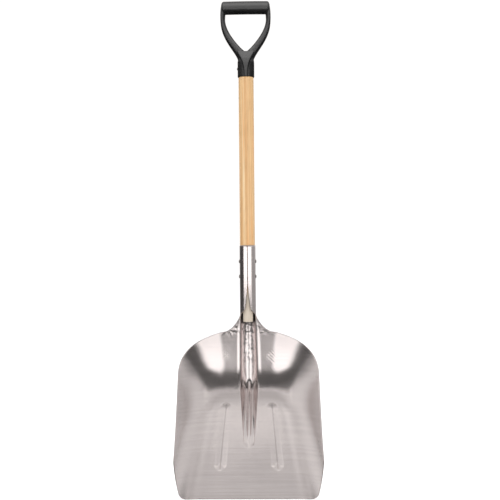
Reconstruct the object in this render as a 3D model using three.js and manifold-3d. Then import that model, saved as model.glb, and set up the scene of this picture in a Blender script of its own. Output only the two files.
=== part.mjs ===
// Aluminium scoop shovel: one pressed blade with a rolled open-front socket, an ash shaft, a moulded D-grip
// and three cross rivets. Millimetres, +Z up along the shaft, +X to the right, the hollow side of the blade
// facing -Y. The shaft's axis is x = y = 0. Heights are counted from the cutting edge until the last line,
// which puts the origin under the crossbar.

import * as THREE from 'three';
import { mergeVertices } from 'three/addons/utils/BufferGeometryUtils.js';
import Module from 'manifold-3d';

const wasm = await Module();
wasm.setup();

// ---- driving dimensions -------------------------------------------------------------------------

const GAP = 0.3; // clearance left between neighbouring pieces

// blade sheet and socket
const SHEET = 2.5; // thickness of the blade sheet
const SOCKET_INNER = 17.5; // inside radius of the rolled socket
const SOCKET_TOP = 622; // height of the socket's mouth
const SEAM_OPENS = 528; // below this the front seam spreads
const SEAM_HALF_GAP = 0.3; // half the closed seam's width
const OPENING_POWER = 1.4; // how late the opening below the seam widens
const FLARE_START = 466; // where the socket's front edges sweep outwards
const FLARE_ANGLE = 18; // degrees that the edges have opened by there
const FLARE_POWER = 1.7; // how late the sweep gathers speed
const NECK = 446; // where those edges reach the socket's sides

// pan: a floor, a back wall and two side walls, blended into each other
const TIP_DEPTH = -70; // y of the floor at the cutting edge
const FLOOR_SLOPE = Math.tan(THREE.MathUtils.degToRad(25)); // lift of the floor
const BACK_SLOPE = Math.tan(THREE.MathUtils.degToRad(17.5)); // lean of the back wall
const WALL_SLOPE = 1.05; // rise of the side walls per mm of width
const CREASE_AT_TIP = 158; // half width of the floor at the cutting edge
const CREASE_TAPER = 0.23; // narrowing of the floor per mm of height
const BEND = 260; // height of the bend between floor and back wall
const BEND_BLEND = 46;
const WING_START = 62; // beyond this half width the back wall turns forward
const WING_SLOPE = 0.19; // by this much per mm
const WING_LEAN = 0.15; // outward lean of that line per mm of height
const WING_LEAN_START = 350;
const CREASE_BLEND = 46;

// trough down the middle, from the socket to the floor
const LIP_DEPTH = 4.5; // drop over the trough's rounded lips
const LIP_WIDTH = 4.5;
const WIDE_LIP = 9; // extra width of the lips beside the back wall
const WIDE_LIP_RISE = 45; // lengths over which the lips widen above the turn and narrow below the neck
const WIDE_LIP_FALL = 60;
const TROUGH_HALF = 21.5; // half width at the turn, where it is widest
const TROUGH_TURN = 250; // height of the turn from the back wall's lean to the floor's
const TROUGH_DROP = 36; // depth below the floor's plane at the turn
const TROUGH_BLEND = 24;
const TROUGH_FADE_POWER = 1.75; // how fast the depth runs out below the turn
const TROUGH_END = 115;
const TROUGH_END_HALF = 13;
const TROUGH_END_FADE = 0.09; // share of the drop left at the blunt end
const TROUGH_END_ROUND = 14;
const TROUGH_COLUMN_MIN = 14; // half width kept by the sheet's grid below the trough's end
const RIDGE_TOP = 282; // top of the ridge down the middle of the trough
const RIDGE_RISE = 68;
const RIDGE_SHARE = 0.9; // height as a share of the trough's depth
const RIDGE_HALF = 8;

// the two stiffening ribs pressed into the floor
const RIB_TOP = 221;
const RIB_BOTTOM = 64;
const RIB_TOP_X = 57.5;
const RIB_BOTTOM_X = 72.3;
const RIB_TOP_HALF = 14;
const RIB_BOTTOM_HALF = 16;
const RIB_TOP_DEPTH = 2.2;
const RIB_BOTTOM_DEPTH = 3.6;
const RIB_RUN_OUT = 14; // length over which a rib's ends rise to the floor

// outline of the blade's right side
const NECK_POINT = new THREE.Vector2(SOCKET_INNER, NECK);
const SHOULDER = new THREE.Vector2(69, 402.2);
const SIDE_TOP = new THREE.Vector2(175.3, 302);
const WIDEST = new THREE.Vector2(184.5, 93);
const CORNER = new THREE.Vector2(170, 13);
const NECK_CURVE = [23.6, 442.4, 34.8, 403.6]; // control points of the curve from the neck to the shoulder
const SHOULDER_CURVE = [132, 385, 173, 357.5];
const SIDE_CURVE = [179.8, 155];
const LOWER_SIDE_CURVE = [179.5, 45];
const CORNER_RISE = 60; // height over which the grid's rows bend into the bottom corners
const CORNER_SHARPNESS = 24;

// shaft
const SHAFT_RADIUS = 18.9;
const SHAFT_IN_SOCKET = 17; // turned-down radius inside the socket
const SHAFT_TAPER_START = 573;
const SHAFT_TIP = 430;
const SHAFT_TIP_RADIUS = 12;
const SHAFT_IN_GRIP = 17.9;
const SHAFT_END = 1085;

// grip
const FERRULE_BOTTOM = 1045; // heights in the rest of the grip are counted from here
const FERRULE_LENGTH = 44;
const FERRULE_RADIUS = 21;
const GRIP_DEPTH = 22; // thickness of the arms from front to back
const GRIP_BEVEL = 5;
const FERRULE_TIP = 18; // length of the taper above the ferrule, inside the fork of the arms
const FERRULE_TIP_RADIUS = 10.5;
const BORE_OVERSHOOT = 10;
const ARM_OUTER_CURVE = [24, 60, 55, 84]; // right outer edge: from the ferrule's top out to the widest part
const ARM_WIDEST = [61.5, 126];
const ARM_TOP_CURVE = [64.3, 144, 64.3, 168];
const ARM_TOP = [60.5, 185];
const GRIP_CORNER = [58.5, 191];
const BAR_TOP_END = [52, 192];
const BAR_TOP_CURVE = [26, 193.5];
const GRIP_TOP = 193.5;
const OPENING_BOTTOM = 67.6; // right edge of the opening for the hand, from its bottom to its top
const OPENING_BOTTOM_CURVE = [6, 67.6];
const OPENING_LOW = [12, 74];
const OPENING_SIDE_CURVE = [27, 90, 49.5, 118];
const OPENING_WIDEST = [51.2, 144];
const OPENING_CORNER = [51.4, 155.5];
const OPENING_HIGH = [45, 157];
const OPENING_TOP = 158;
const BAR_HEIGHT = 175;
const BAR_HALF_LENGTH = 61;
const BAR_HALF_HEIGHT = 17;
const BAR_HALF_DEPTH = 15.5;
const BAR_END = [[0.62, 1], [0.93, 0.93], [1, 0.7]]; // rounded end of the bar: shares of its size and length

// rivets
const RIVET_RADIUS = 2.5;
const RIVET_HEAD_RADIUS = 4.6;
const RIVET_HEAD_HEIGHT = 2.3;
const SOCKET_RIVET_HEIGHTS = { upper: 582, lower: 544 };
const GRIP_RIVET_HEIGHT = 1067;
const GRIP_RIVET_RADIUS = 2;
const GRIP_RIVET_HEAD_RADIUS = 3.6;
const GRIP_RIVET_HEAD_HEIGHT = 1.6;
const RIVET_SINK = 0.5; // how far the grip rivet's flush end lies inside the hole's mouth
const DOME = [[0.8, 0.6], [0.4, 1]]; // the dome of a head: share of its radius, share of its height

// how finely round pieces and curves are divided
const ROUND_SIDES = 48;
const BAR_SIDES = 24;
const RIVET_SIDES = 20;
const OUTLINE_STEPS = 400;
const GRIP_CURVE_STEPS = 7;
const GRIP_BEVEL_STEPS = 2;

// ---- materials ----------------------------------------------------------------------------------

function finish(color, roughness, metalness) {
  return new THREE.MeshStandardMaterial({ color, roughness, metalness });
}

const aluminium = finish(0xbdb6b3, 0.32, 1);
const ash = finish(0xd9a666, 0.55, 0);
const blackPlastic = finish(0x2b2e31, 0.5, 0);
const rivetMetal = finish(0xb5b0ac, 0.3, 1);

// ---- solids -------------------------------------------------------------------------------------

const WELD = 1e-3; // corners closer than this become one
const HOLE_REACH = 40; // half the length of the bars that cut the cross holes

function toSolid(geometry) {
  const bare = geometry.index ? geometry.toNonIndexed() : geometry.clone();
  bare.deleteAttribute('normal');
  bare.deleteAttribute('uv');
  const merged = mergeVertices(bare, WELD);
  const vertProperties = new Float32Array(merged.attributes.position.array);
  const triVerts = new Uint32Array(merged.index.array);
  return new wasm.Manifold(new wasm.Mesh({ numProp: 3, vertProperties, triVerts }));
}

function toMesh(name, solid, material) {
  const { vertProperties, triVerts } = solid.getMesh();
  const geometry = new THREE.BufferGeometry();
  geometry.setAttribute('position', new THREE.BufferAttribute(new Float32Array(vertProperties), 3));
  geometry.setIndex(new THREE.BufferAttribute(new Uint32Array(triVerts), 1));
  geometry.computeVertexNormals();
  const mesh = new THREE.Mesh(geometry, material);
  mesh.name = name;
  return mesh;
}

// a round solid about the shaft's axis, from [radius, height] pairs given from the bottom up
function turned(profile, sides = ROUND_SIDES) {
  const bottom = profile[0][1];
  const top = profile.at(-1)[1];
  const points = [[0, bottom], ...profile, [0, top]].map(([r, z]) => new THREE.Vector2(r, z));
  return toSolid(new THREE.LatheGeometry(points, sides).rotateX(Math.PI / 2));
}

// a round solid along X at a given height, from [radius, x] pairs
function turnedAcross(profile, height, sides) {
  const points = [[0, profile[0][1]], ...profile, [0, profile.at(-1)[1]]];
  const lathe = new THREE.LatheGeometry(points.map(([r, x]) => new THREE.Vector2(r, x)), sides);
  return toSolid(lathe.rotateZ(-Math.PI / 2).translate(0, 0, height));
}

function crossHole(radius, height) {
  return turnedAcross([[radius, -HOLE_REACH], [radius, HOLE_REACH]], height, RIVET_SIDES);
}

// ---- blade --------------------------------------------------------------------------------------

const clamp01 = (t) => Math.min(1, Math.max(0, t));
const mix = THREE.MathUtils.lerp;

function smoothMin(a, b, width) {
  const t = clamp01(0.5 + (0.5 * (b - a)) / width);
  return mix(b, a, t) - width * t * (1 - t);
}

const creaseHalf = (z) => CREASE_AT_TIP - CREASE_TAPER * z;
const floorDepth = (z) => TIP_DEPTH + FLOOR_SLOPE * z;

// the back wall leans away from the neck downwards, and beyond the wing line it turns forward
function backDepth(x, z) {
  const wingLine = WING_START + WING_LEAN * Math.max(0, z - WING_LEAN_START);
  return (NECK - z) * BACK_SLOPE - LIP_DEPTH - WING_SLOPE * Math.max(0, Math.abs(x) - wingLine);
}

// y of the pan's hollow face, without trough and ribs
function panDepth(x, z) {
  const wall = floorDepth(z) - (Math.abs(x) - creaseHalf(z)) * WALL_SLOPE;
  const middle = smoothMin(floorDepth(z), backDepth(x, z), BEND_BLEND);
  return smoothMin(middle, wall, CREASE_BLEND);
}

// how far down from the turn to the trough's end, from 0 to 1
const troughDown = (z) => clamp01((TROUGH_TURN - z) / (TROUGH_TURN - TROUGH_END));

// rounds off the trough's blunt end: 0 above it, 1 at the very end
const troughNose = (z) => clamp01((TROUGH_END + TROUGH_END_ROUND - z) / TROUGH_END_ROUND);

function troughFade(z) {
  const along = mix(TROUGH_END_FADE, 1, (1 - troughDown(z)) ** TROUGH_FADE_POWER);
  return along * (1 - troughNose(z) ** 2);
}

function troughHalf(z) {
  const above = mix(TROUGH_HALF, SOCKET_INNER, clamp01((z - TROUGH_TURN) / (NECK - TROUGH_TURN)));
  const straight = mix(above, TROUGH_END_HALF, troughDown(z));
  return straight * Math.sqrt(1 - troughNose(z) ** 2);
}

function lipWidth(z) {
  const rise = THREE.MathUtils.smoothstep(z, TROUGH_TURN, TROUGH_TURN + WIDE_LIP_RISE);
  const fall = 1 - THREE.MathUtils.smoothstep(z, NECK - WIDE_LIP_FALL, NECK);
  return (LIP_WIDTH + WIDE_LIP * rise * fall) * troughFade(z);
}

// how far the trough's deepest line lies behind the pan
function troughBottom(z) {
  const onFloor = floorDepth(z) + TROUGH_DROP * troughFade(z);
  const onBack = backDepth(0, z) + SOCKET_INNER + LIP_DEPTH;
  return Math.max(0, smoothMin(onFloor, onBack, TROUGH_BLEND) - panDepth(0, z));
}

function troughDepth(x, z) {
  const half = troughHalf(z);
  const width = lipWidth(z);
  const across = Math.abs(x);
  if (across >= half + width) return 0;
  const bottom = troughBottom(z);
  const rim = Math.min(LIP_DEPTH * troughFade(z), bottom);
  if (across >= half) return rim * (1 - Math.sqrt(1 - ((half + width - across) / width) ** 2));
  const ridge = bottom * RIDGE_SHARE * THREE.MathUtils.smoothstep(RIDGE_TOP - z, 0, RIDGE_RISE);
  const crest = Math.max(0, 1 - across / RIDGE_HALF);
  return rim + (bottom - rim) * Math.sqrt(1 - (across / half) ** 2) - ridge * crest;
}

const ribAlong = (z) => clamp01((RIB_TOP - z) / (RIB_TOP - RIB_BOTTOM));
const ribCentre = (z) => mix(RIB_TOP_X, RIB_BOTTOM_X, ribAlong(z));
const ribHalf = (z) => mix(RIB_TOP_HALF, RIB_BOTTOM_HALF, ribAlong(z));

function ribDepth(x, z) {
  const ends = clamp01((RIB_TOP - z) / RIB_RUN_OUT) * clamp01((z - RIB_BOTTOM) / RIB_RUN_OUT);
  const across = Math.abs(Math.abs(x) - ribCentre(z)) / ribHalf(z);
  const depth = mix(RIB_TOP_DEPTH, RIB_BOTTOM_DEPTH, ribAlong(z));
  return depth * ends * Math.max(0, 1 - across);
}

const bladeDepth = (x, z) => panDepth(x, z) + troughDepth(x, z) + ribDepth(x, z);

// the right edge from the neck down to the bottom corner
function sideOutline() {
  const outline = new THREE.Path();
  outline.moveTo(NECK_POINT.x, NECK_POINT.y);
  outline.bezierCurveTo(...NECK_CURVE, SHOULDER.x, SHOULDER.y);
  outline.bezierCurveTo(...SHOULDER_CURVE, SIDE_TOP.x, SIDE_TOP.y);
  outline.quadraticCurveTo(...SIDE_CURVE, WIDEST.x, WIDEST.y);
  outline.quadraticCurveTo(...LOWER_SIDE_CURVE, CORNER.x, CORNER.y);
  return outline;
}

// the outline as [height, half width] samples, and its arc length from the neck down to the bend
const OUTLINE = sideOutline().getSpacedPoints(OUTLINE_STEPS);

function outlineHalf(z) {
  const below = Math.max(1, OUTLINE.findIndex((p) => p.y <= z));
  const a = OUTLINE[below - 1];
  const b = OUTLINE[below];
  return mix(a.x, b.x, clamp01((a.y - z) / (a.y - b.y)));
}

function fanPoint(fraction) {
  const end = OUTLINE.findIndex((p) => p.y <= BEND);
  const at = fraction * end;
  const i = Math.min(end - 1, Math.floor(at));
  return OUTLINE[i].clone().lerp(OUTLINE[i + 1], at - i);
}

// the sheet's edge on the row that crosses the middle at height z
function rowEdge(z) {
  if (z > BEND) return fanPoint((NECK - z) / (NECK - BEND));
  const height = mix(CORNER.y, BEND, z / BEND);
  return new THREE.Vector2(outlineHalf(height), height);
}

// columns of the sheet's grid from the middle to the right edge
const TROUGH_ANGLES = [0, 12, 24, 36, 48, 62, 76, 90];
const LIP_ANGLES = [30, 60, 90];
const LIP_SHARE_MAX = 0.4; // most of the strip beside the trough that a lip takes
const WALL_COLUMNS = [0.2, 0.6, 0.9, 1]; // shares of the way from the crease to the edge
const CREASE_COLUMN = 12; // one column this far inside the crease

function panColumns(z) {
  const half = outlineHalf(mix(CORNER.y, BEND, z / BEND));
  const rib = ribCentre(z);
  const crease = creaseHalf(z);
  const wall = WALL_COLUMNS.map((share) => mix(crease, half, share));
  return [rib - ribHalf(z), rib, rib + ribHalf(z), crease - CREASE_COLUMN, crease, ...wall];
}

function columnOffsets(z, edge) {
  const trough = Math.max(troughHalf(z), TROUGH_COLUMN_MIN);
  const lip = Math.min(Math.max(LIP_WIDTH, lipWidth(z)), LIP_SHARE_MAX * (edge - trough));
  const inner = trough + lip;
  const columns = panColumns(Math.min(z, BEND));
  const flat = columns.at(-1);
  const spread = columns.map((x) => inner + ((x - inner) * (edge - inner)) / (flat - inner));
  const radians = THREE.MathUtils.degToRad;
  return [
    ...TROUGH_ANGLES.map((a) => trough * Math.sin(radians(a))),
    ...LIP_ANGLES.map((a) => trough + lip * (1 - Math.cos(radians(a)))),
    ...spread,
  ];
}

function panRow(z) {
  const edge = rowEdge(z);
  const bend = 1 + CORNER_SHARPNESS * clamp01(1 - z / CORNER_RISE);
  return columnOffsets(z, edge.x).map((x) => {
    const height = mix(z, edge.y, (x / edge.x) ** bend);
    return new THREE.Vector3(x, bladeDepth(x, height), height);
  });
}

// half the angle of sheet that is left around the socket at height z, in degrees
function socketReach(z) {
  const closed = THREE.MathUtils.radToDeg(Math.asin(SEAM_HALF_GAP / SOCKET_INNER));
  const opened = clamp01((SEAM_OPENS - z) / (SEAM_OPENS - FLARE_START)) ** OPENING_POWER;
  const spread = mix(closed, FLARE_ANGLE, opened);
  const flare = clamp01((FLARE_START - z) / (FLARE_START - NECK)) ** FLARE_POWER;
  return 180 - mix(spread, 90, flare);
}

function socketRow(z) {
  const reach = socketReach(z);
  const rest = LIP_ANGLES.length + panColumns(BEND).length;
  const around = [...TROUGH_ANGLES];
  for (let i = 1; i <= rest; i += 1) around.push(mix(90, reach, i / rest));
  return around.map((a) => {
    const angle = THREE.MathUtils.degToRad(a);
    return new THREE.Vector3(SOCKET_INNER * Math.sin(angle), SOCKET_INNER * Math.cos(angle), z);
  });
}

// heights of the grid's rows in the middle of the sheet
const SOCKET_ROWS = [SOCKET_TOP, 575, SEAM_OPENS, 496, FLARE_START, 460, 454, 448];
const PAN_ROWS = [
  443, 438, 431, 422, 412, 401, 388, 373, 357, 340, 325, 310, 295, RIDGE_TOP, 272, 264, 255, 244, 232,
  RIB_TOP, RIB_TOP - RIB_RUN_OUT, 192, 177, 161, 145, 133, 125, 119, TROUGH_END, 106, 94,
  RIB_BOTTOM + RIB_RUN_OUT, RIB_BOTTOM, 50, 34, 20, 8, 0,
];

// the full width of a row, mirrored about the middle
function wholeRow(half) {
  const left = half.slice(1).reverse().map((p) => new THREE.Vector3(-p.x, p.y, p.z));
  return [...left, ...half];
}

function bladeRows() {
  const halves = [...SOCKET_ROWS.map(socketRow), ...PAN_ROWS.map(panRow)];
  return halves.map(wholeRow);
}

// the outside face: every point of the grid moved out by the sheet's thickness
function outsideRows(rows) {
  const last = rows.length - 1;
  return rows.map((row, i) => row.map((point, j) => {
    const down = rows[Math.min(last, i + 1)][j].clone().sub(rows[Math.max(0, i - 1)][j]);
    const along = row[Math.min(row.length - 1, j + 1)].clone().sub(row[Math.max(0, j - 1)]);
    return point.clone().addScaledVector(along.cross(down).normalize(), SHEET);
  }));
}

function sheetSolid(inside, outside) {
  const positions = [];
  const quad = (a, b, c, d) => [a, b, c, a, c, d].forEach((p) => positions.push(p.x, p.y, p.z));
  const last = inside.length - 1;
  const end = inside[0].length - 1;
  for (let i = 0; i < last; i += 1) {
    for (let j = 0; j < end; j += 1) {
      quad(inside[i][j], inside[i + 1][j], inside[i + 1][j + 1], inside[i][j + 1]);
      quad(outside[i][j], outside[i][j + 1], outside[i + 1][j + 1], outside[i + 1][j]);
    }
    quad(inside[i][0], outside[i][0], outside[i + 1][0], inside[i + 1][0]);
    quad(inside[i + 1][end], outside[i + 1][end], outside[i][end], inside[i][end]);
  }
  for (let j = 0; j < end; j += 1) {
    quad(inside[0][j], inside[0][j + 1], outside[0][j + 1], outside[0][j]);
    quad(inside[last][j + 1], inside[last][j], outside[last][j], outside[last][j + 1]);
  }
  const geometry = new THREE.BufferGeometry();
  geometry.setAttribute('position', new THREE.Float32BufferAttribute(positions, 3));
  return toSolid(geometry);
}

function scoopBlade() {
  const inside = bladeRows();
  let blade = sheetSolid(inside, outsideRows(inside));
  for (const height of Object.values(SOCKET_RIVET_HEIGHTS)) {
    blade = blade.subtract(crossHole(RIVET_RADIUS + GAP, height));
  }
  return toMesh('scoop_blade', blade, aluminium);
}

// ---- shaft --------------------------------------------------------------------------------------

function woodShaft() {
  const shoulder = SOCKET_TOP + GAP;
  const collar = FERRULE_BOTTOM - GAP;
  let shaft = turned([
    [SHAFT_TIP_RADIUS, SHAFT_TIP],
    [SHAFT_IN_SOCKET, SHAFT_TAPER_START],
    [SHAFT_IN_SOCKET, shoulder],
    [SHAFT_RADIUS, shoulder],
    [SHAFT_RADIUS, collar],
    [SHAFT_IN_GRIP, collar],
    [SHAFT_IN_GRIP, SHAFT_END],
  ]);
  for (const height of Object.values(SOCKET_RIVET_HEIGHTS)) {
    shaft = shaft.subtract(crossHole(RIVET_RADIUS + GAP, height));
  }
  shaft = shaft.subtract(crossHole(GRIP_RIVET_RADIUS + GAP, GRIP_RIVET_HEIGHT));
  return toMesh('wood_shaft', shaft, ash);
}

// ---- grip ---------------------------------------------------------------------------------------

// both halves of a line drawn on the right from bottom to top, as one closed ring of points
function mirroredRing(right) {
  const points = right.getPoints(GRIP_CURVE_STEPS);
  const left = points.map((p) => new THREE.Vector2(-p.x, p.y)).reverse();
  return [...points, ...left].filter((p, i, all) => i === 0 || p.distanceTo(all[i - 1]) > GAP);
}

function gripOutline() {
  const right = new THREE.Path();
  right.moveTo(FERRULE_RADIUS, FERRULE_LENGTH);
  right.bezierCurveTo(...ARM_OUTER_CURVE, ...ARM_WIDEST);
  right.bezierCurveTo(...ARM_TOP_CURVE, ...ARM_TOP);
  right.quadraticCurveTo(...GRIP_CORNER, ...BAR_TOP_END);
  right.quadraticCurveTo(...BAR_TOP_CURVE, 0, GRIP_TOP);
  return new THREE.Shape(mirroredRing(right));
}

function gripOpening() {
  const right = new THREE.Path();
  right.moveTo(0, OPENING_BOTTOM);
  right.quadraticCurveTo(...OPENING_BOTTOM_CURVE, ...OPENING_LOW);
  right.bezierCurveTo(...OPENING_SIDE_CURVE, ...OPENING_WIDEST);
  right.quadraticCurveTo(...OPENING_CORNER, ...OPENING_HIGH);
  right.lineTo(0, OPENING_TOP);
  return new THREE.Path(mirroredRing(right).slice(0, -1));
}

// the D with rounded edges: the bevel grows outwards, so the flat outline starts that much smaller
function gripBody() {
  const shape = gripOutline();
  shape.holes.push(gripOpening());
  const geometry = new THREE.ExtrudeGeometry(shape, {
    depth: GRIP_DEPTH - 2 * GRIP_BEVEL,
    bevelThickness: GRIP_BEVEL,
    bevelSize: GRIP_BEVEL,
    bevelOffset: -GRIP_BEVEL,
    bevelSegments: GRIP_BEVEL_STEPS,
  });
  geometry.translate(0, 0, GRIP_BEVEL - GRIP_DEPTH / 2);
  return toSolid(geometry.rotateX(Math.PI / 2));
}

function gripBar() {
  const stations = BAR_END.map(([share, along]) => [share, -along * BAR_HALF_LENGTH]);
  const mirrored = stations.map(([r, x]) => [r, -x]).reverse();
  return turnedAcross([...stations, ...mirrored], 0, BAR_SIDES)
    .scale([1, BAR_HALF_DEPTH, BAR_HALF_HEIGHT])
    .translate([0, 0, BAR_HEIGHT]);
}

function dGrip() {
  const ferrule = turned([
    [FERRULE_RADIUS, 0],
    [FERRULE_RADIUS, FERRULE_LENGTH],
    [FERRULE_TIP_RADIUS, FERRULE_LENGTH + FERRULE_TIP],
  ]);
  const bore = turned([
    [SHAFT_IN_GRIP + GAP, -BORE_OVERSHOOT],
    [SHAFT_IN_GRIP + GAP, SHAFT_END + GAP - FERRULE_BOTTOM],
  ]);
  const grip = gripBody()
    .add(gripBar())
    .add(ferrule)
    .subtract(bore)
    .subtract(crossHole(GRIP_RIVET_RADIUS + GAP, GRIP_RIVET_HEIGHT - FERRULE_BOTTOM));
  const mesh = toMesh('d_grip', grip, blackPlastic);
  mesh.position.z = FERRULE_BOTTOM;
  return mesh;
}

// ---- rivets -------------------------------------------------------------------------------------

// the end of a rivet with a domed head, as [radius, x] pairs running out from the seat at x = face
function domedEnd(shank, head, dome, face) {
  const crown = DOME.map(([width, rise]) => [width * head, face + rise * dome]);
  return [[shank, face], [head, face], ...crown];
}

// headed on both sides of the socket
function socketRivet(which) {
  const face = SOCKET_INNER + SHEET + GAP;
  const right = domedEnd(RIVET_RADIUS, RIVET_HEAD_RADIUS, RIVET_HEAD_HEIGHT, face);
  const left = right.map(([r, x]) => [r, -x]).reverse();
  const solid = turnedAcross([...left, ...right], SOCKET_RIVET_HEIGHTS[which], RIVET_SIDES);
  return toMesh(`socket_rivet_${which}`, solid, rivetMetal);
}

// headed on the left of the ferrule, its right end flush in the hole
function gripRivet() {
  const face = FERRULE_RADIUS + GAP;
  const right = domedEnd(GRIP_RIVET_RADIUS, GRIP_RIVET_HEAD_RADIUS, GRIP_RIVET_HEAD_HEIGHT, face);
  const left = right.map(([r, x]) => [r, -x]).reverse();
  const flush = [GRIP_RIVET_RADIUS, FERRULE_RADIUS - RIVET_SINK];
  const solid = turnedAcross([...left, flush], GRIP_RIVET_HEIGHT, RIVET_SIDES);
  return toMesh('grip_rivet', solid, rivetMetal);
}

// ---- assembly -----------------------------------------------------------------------------------

const group = new THREE.Group();
group.add(scoopBlade(), woodShaft(), dGrip(), socketRivet('upper'), socketRivet('lower'), gripRivet());

// the origin is where the tool hangs: the middle of the crossbar's underside
group.position.z = -(FERRULE_BOTTOM + BAR_HEIGHT - BAR_HALF_HEIGHT);

export default group;
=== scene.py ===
"""Looks of the aluminium scoop shovel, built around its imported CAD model.

The six pieces are rebuilt here at full smoothness from most of the CAD's driving dimensions. A few are eased
so that the sheet stays inside its facets; the lips, the ribs' ends and the grip's arms have finer curves of
their own. Dimensions are millimetres on the shaft's axis, heights count from the cutting edge, and in_frame()
carries them into the model's frame in metres.
"""

import math

import bmesh
import bpy
import numpy as np
from mathutils import Matrix, Vector, noise

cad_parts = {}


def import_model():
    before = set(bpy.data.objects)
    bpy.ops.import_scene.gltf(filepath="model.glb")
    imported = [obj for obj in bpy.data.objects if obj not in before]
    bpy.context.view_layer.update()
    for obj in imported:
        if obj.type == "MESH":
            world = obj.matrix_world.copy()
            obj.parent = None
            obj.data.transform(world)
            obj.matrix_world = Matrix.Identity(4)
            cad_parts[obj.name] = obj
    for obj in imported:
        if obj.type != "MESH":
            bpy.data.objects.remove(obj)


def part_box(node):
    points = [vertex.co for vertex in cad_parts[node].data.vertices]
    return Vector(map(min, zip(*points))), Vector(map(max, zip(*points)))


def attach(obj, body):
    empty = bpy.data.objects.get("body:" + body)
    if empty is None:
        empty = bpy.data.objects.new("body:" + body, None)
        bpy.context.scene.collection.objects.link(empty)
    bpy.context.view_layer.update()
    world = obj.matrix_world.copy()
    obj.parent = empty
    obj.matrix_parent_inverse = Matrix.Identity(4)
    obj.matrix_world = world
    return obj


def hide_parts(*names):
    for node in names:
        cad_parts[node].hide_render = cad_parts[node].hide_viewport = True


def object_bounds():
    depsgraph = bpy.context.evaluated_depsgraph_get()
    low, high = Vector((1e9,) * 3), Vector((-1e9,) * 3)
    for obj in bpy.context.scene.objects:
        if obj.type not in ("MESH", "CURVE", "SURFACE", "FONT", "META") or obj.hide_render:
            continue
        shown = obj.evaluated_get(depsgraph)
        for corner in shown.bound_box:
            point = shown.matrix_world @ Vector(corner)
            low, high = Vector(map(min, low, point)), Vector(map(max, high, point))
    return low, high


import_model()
CAD_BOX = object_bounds()

# ---- driving dimensions, millimetres ----

# blade sheet and socket
SHEET = 2.5
RIM_BULGE = 0.6  # how far the middle of the rounded rim stands out past the faces' edges
RIM_ANGLES = [math.radians(a) for a in (35, 65, 90, 115, 145)]
SOCKET_INNER = 17.5
SOCKET_TOP = 622
SEAM_OPENS = 528  # below this the front seam spreads
SEAM_HALF_GAP = 0.3
OPENING_POWER = 1.4  # how late the opening below the seam widens
FLARE_START = 466  # where the socket's front edges sweep outwards
FLARE_ANGLE = 18  # degrees opened by there
FLARE_POWER = 1.7  # how late the sweep gathers speed
NECK = 446  # where those edges reach the socket's sides

# pan: a floor, a back wall and two side walls, blended into each other
TIP_DEPTH = -70  # y of the floor at the cutting edge
FLOOR_SLOPE = math.tan(math.radians(25))
BACK_SLOPE = math.tan(math.radians(17.5))
WALL_SLOPE = 1.05  # rise of the side walls per mm of width
CREASE_AT_TIP = 158  # half width of the floor at the cutting edge
CREASE_TAPER = 0.23  # narrowing of the floor per mm of height
BEND = 260  # height of the bend between floor and back wall
BEND_BLEND = 46
CREASE_BLEND = 46
WING_START = 62  # beyond this half width the back wall turns forward
WING_FLARE = 8  # how much further out that begins near the neck
WING_FLARE_HEIGHTS = (330, 400)
WING_SLOPE = 0.19
WING_BLEND = 9

# trough down the middle, from the socket to the floor
LIP_DEPTH = 4.5  # drop over the trough's rounded lips
LIP_WIDTH = 4.5
LIP_SHARE_MAX = 0.4  # most of the strip beside the trough that a lip takes
WIDE_LIP = 9  # extra width of the lips beside the back wall
WIDE_LIP_RISE = 45  # they widen above the turn and narrow below the neck
WIDE_LIP_FALL = 60
WIDE_LIP_STOP = 5  # how far below the neck they have narrowed again
TROUGH_HALF = 21.5  # half width at the turn, where it is widest
TROUGH_TURN = 250  # height of the turn from the back wall's lean to the floor's
TROUGH_DROP = 34  # depth below the floor's plane at the turn
TROUGH_BLEND = 24
TROUGH_FADE_POWER = 1.75  # how fast the depth runs out below the turn
TROUGH_END = 115
TROUGH_END_HALF = 13
TROUGH_END_FADE = 0.09  # share of the drop left at the blunt end
TROUGH_END_ROUND = 14
RIDGE_TOP = 282  # top of the ridge down the middle of the trough
RIDGE_RISE = 68
RIDGE_SHARE = 0.9  # height as a share of the trough's depth
RIDGE_HALF = 8

# the two ribs in the floor; shares are of a rib's half width or depth
RIB_TOP = 221
RIB_BOTTOM = 64
RIB_TOP_X = 57.5
RIB_BOTTOM_X = 72.3
RIB_TOP_HALF = 14
RIB_BOTTOM_HALF = 16
RIB_TOP_DEPTH = 2.2
RIB_BOTTOM_DEPTH = 3.6
RIB_NOSE = 16  # lengths over which the upper and the lower end rise to the floor
RIB_RAMP = 17
RIB_ROUND = 15  # length of each round end
RIB_TIP_SHARE = 0.01  # square of the width's share left at the very end
RIB_KEEL = 0.004  # square of the share over which the V's bottom is rounded
RIB_END_BLEND = 0.2
RIB_FACE_BLEND = 0.06
RIB_EDGE_BLEND = 0.12
RIB_RIM = 0.4  # height of the raised rim round a rib
RIB_RIM_AT = 1.05
RIB_RIM_WIDTH = 0.14
RIB_RIM_BLEND = 0.4

# outline of the blade's right side
SHOULDER = (69, 402.2)
SIDE_TOP = (175.3, 302)
SIDE_CURVE = (179.8, 155)
WIDEST = (183.7, 93)
CORNER = (170, 13)
NECK_CURVE = ((23.6, 442.4), (34.8, 403.6))
SHOULDER_CURVE = ((132, 385), (173, 357.5))
LOWER_SIDE_CURVE = (179.5, 45)
CORNER_RISE = 60  # height over which the grid's rows bend into the bottom corners
CORNER_SHARPNESS = 24

# shaft
SHAFT_RADIUS = 18.9
SHAFT_IN_SOCKET = 17
SHAFT_TAPER_START = 573
SHAFT_TIP = 430
SHAFT_TIP_RADIUS = 12
SHAFT_IN_GRIP = 17.9
SHAFT_END = 1085
SHAFT_EDGE = 0.5  # rounding of its turned edges
CLEARANCE = 0.3

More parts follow.
